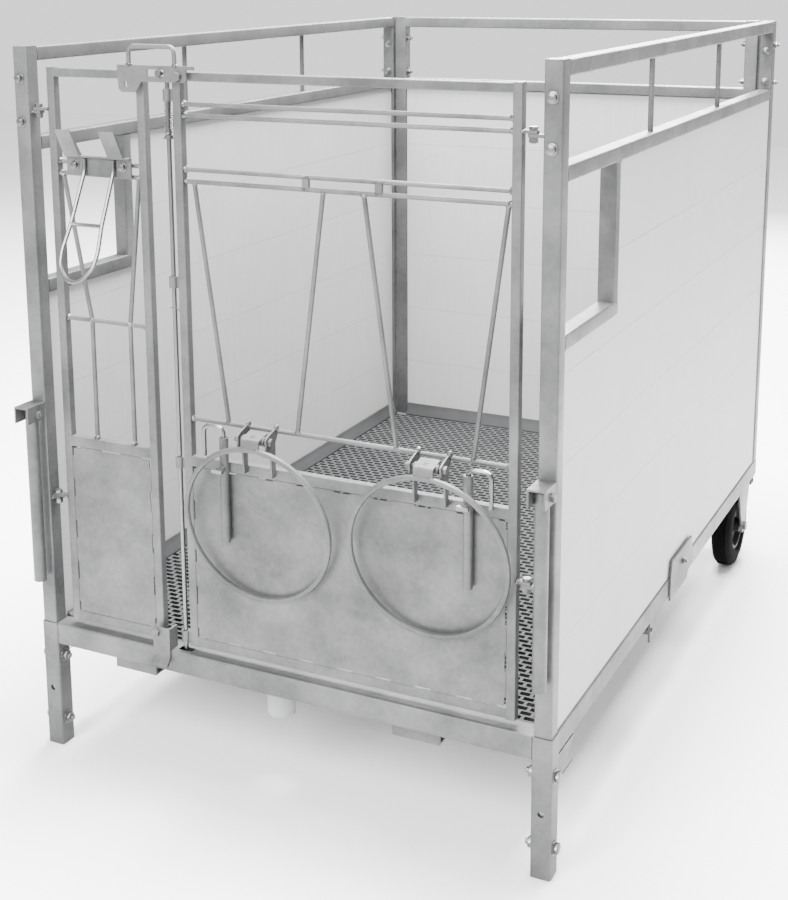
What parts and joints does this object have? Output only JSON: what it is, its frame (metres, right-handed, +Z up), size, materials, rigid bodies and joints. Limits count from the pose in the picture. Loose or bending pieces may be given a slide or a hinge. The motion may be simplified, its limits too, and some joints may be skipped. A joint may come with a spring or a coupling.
{
  "type": "mobile calf hutch",
  "caption": "Mobile calf pen in galvanised tube with plank walls and slatted floor, a wide feeding door with swing-up bucket rings, a narrow gate, and wheels at the rear.",
  "frame": {"origin": "middle of the footprint, on the ground that the legs and wheels stand on", "axes": "+Z up, -Y towards the doors at the front, +X to the right seen from the front"},
  "size_m": [1.012, 1.5802, 1.316],
  "materials": {
    "galvanised_steel": "hot dip galvanised, dull",
    "zinc_steel": "bright zinc",
    "wall_board": "white plastic plank",
    "floor_plastic": "grey, matt",
    "pan_plastic": "grey, matt",
    "tyre_rubber": "black rubber",
    "rim_plastic": "black"
  },
  "bodies": {
    "hutch": {"base_frame": "galvanised_steel", "floor_grate": "floor_plastic", "drain_pan": "pan_plastic", "leg_left": "galvanised_steel", "leg_right": "galvanised_steel", "front_post_left": "galvanised_steel", "front_post_right": "galvanised_steel", "rear_post_left": "galvanised_steel", "rear_post_right": "galvanised_steel", "side_top_rail_left": "galvanised_steel", "side_top_rail_right": "galvanised_steel", "side_mid_rail_left": "galvanised_steel", "side_mid_rail_right": "galvanised_steel", "window_frame_left": "galvanised_steel", "window_frame_right": "galvanised_steel", "back_frame": "galvanised_steel", "side_boards_left": "wall_board", "side_boards_right": "wall_board", "back_boards": "wall_board", "wheel_fork_left": "galvanised_steel", "wheel_fork_right": "galvanised_steel", "handle_bracket_left": "galvanised_steel", "handle_bracket_right": "galvanised_steel", "link_plate_left": "galvanised_steel", "link_plate_right": "galvanised_steel", "gate_stop": "galvanised_steel", "lower_pin_left": "zinc_steel", "lower_pin_right": "zinc_steel", "upper_pin_left": "zinc_steel", "upper_pin_right": "zinc_steel"},
    "narrow_gate": {"narrow_gate_frame": "galvanised_steel", "narrow_gate_bars": "galvanised_steel", "narrow_gate_sheet": "galvanised_steel", "bottle_bracket": "galvanised_steel", "bottle_loop": "zinc_steel"},
    "main_door": {"main_door_frame": "galvanised_steel", "main_door_sheet": "galvanised_steel", "feed_rail": "galvanised_steel", "feed_bar_left_1": "galvanised_steel", "feed_bar_left_2": "galvanised_steel", "feed_bar_right_1": "galvanised_steel", "feed_bar_right_2": "galvanised_steel", "bucket_rail": "galvanised_steel", "clamp_tube_left": "galvanised_steel", "clamp_tube_right": "galvanised_steel", "rod_spring": "zinc_steel"},
    "latch_lever": {"latch_lever": "galvanised_steel"},
    "drop_rod": {"drop_rod": "zinc_steel"},
    "bucket_ring_left": {"bucket_ring_left": "galvanised_steel"},
    "bucket_ring_right": {"bucket_ring_right": "galvanised_steel"},
    "hook_rod_left": {"hook_rod_left": "zinc_steel"},
    "hook_rod_right": {"hook_rod_right": "zinc_steel"},
    "thumbscrew_left": {"thumbscrew_left": "zinc_steel"},
    "thumbscrew_right": {"thumbscrew_right": "zinc_steel"},
    "push_handle_left": {"push_handle_left": "galvanised_steel"},
    "push_handle_right": {"push_handle_right": "galvanised_steel"},
    "wheel_left": {"tyre_left": "tyre_rubber", "hub_left": "rim_plastic"},
    "wheel_right": {"tyre_right": "tyre_rubber", "hub_right": "rim_plastic"}
  },
  "joints": [
    {"name": "main_door_hinge", "type": "hinge", "parent": "hutch", "child": "main_door", "pos_m": [0.45, -0.69086, 0.7], "axis": [0, 0, 1], "range_deg": [0, 70]},
    {"name": "narrow_gate_hinge", "type": "hinge", "parent": "hutch", "child": "narrow_gate", "pos_m": [-0.46, -0.69086, 0.7], "axis": [0, 0, 1], "range_deg": [0, 80]},
    {"name": "latch_lever_turn", "type": "hinge", "parent": "main_door", "child": "latch_lever", "pos_m": [-0.159, -0.70636, 1.264], "axis": [0, 1, 0], "range_deg": [0, 30]},
    {"name": "drop_rod_slide", "type": "slide", "parent": "main_door", "child": "drop_rod", "axis": [0, 0, 1], "range_m": [0, 0.0215], "deforming": ["rod_spring"]},
    {"name": "bucket_ring_left_pivot", "type": "hinge", "parent": "main_door", "child": "bucket_ring_left", "pos_m": [-0.025, -0.71486, 0.667], "axis": [-1, 0, 0], "range_deg": [0, 90]},
    {"name": "bucket_ring_right_pivot", "type": "hinge", "parent": "main_door", "child": "bucket_ring_right", "pos_m": [0.29, -0.71486, 0.667], "axis": [-1, 0, 0], "range_deg": [0, 90]},
    {"name": "hook_rod_left_slide", "type": "slide", "parent": "main_door", "child": "hook_rod_left", "axis": [0, 0, 1], "range_m": [0, 0.12]},
    {"name": "thumbscrew_left_turn", "type": "hinge", "parent": "main_door", "child": "thumbscrew_left", "pos_m": [-0.093, -0.71486, 0.606], "axis": [0, -1, 0], "range_deg": [0, 180]},
    {"name": "hook_rod_right_slide", "type": "slide", "parent": "main_door", "child": "hook_rod_right", "axis": [0, 0, 1], "range_m": [0, 0.12]},
    {"name": "thumbscrew_right_turn", "type": "hinge", "parent": "main_door", "child": "thumbscrew_right", "pos_m": [0.355, -0.71486, 0.614], "axis": [0, -1, 0], "range_deg": [0, 180]},
    {"name": "push_handle_left_fold", "type": "hinge", "parent": "hutch", "child": "push_handle_left", "pos_m": [-0.485, -0.72486, 0.655], "axis": [1, 0, 0], "range_deg": [-90, 0]},
    {"name": "push_handle_right_fold", "type": "hinge", "parent": "hutch", "child": "push_handle_right", "pos_m": [0.485, -0.72486, 0.655], "axis": [1, 0, 0], "range_deg": [-90, 0]},
    {"name": "wheel_left_spin", "type": "hinge", "parent": "hutch", "child": "wheel_left", "pos_m": [-0.459, 0.69014, 0.1], "axis": [1, 0, 0], "continuous": true},
    {"name": "wheel_right_spin", "type": "hinge", "parent": "hutch", "child": "wheel_right", "pos_m": [0.459, 0.69014, 0.1], "axis": [1, 0, 0], "continuous": true}
  ],
  "couplings": [
    {"joint": "drop_rod_slide", "follows": "latch_lever_turn", "m_per_rad": 0.04007}
  ]
}
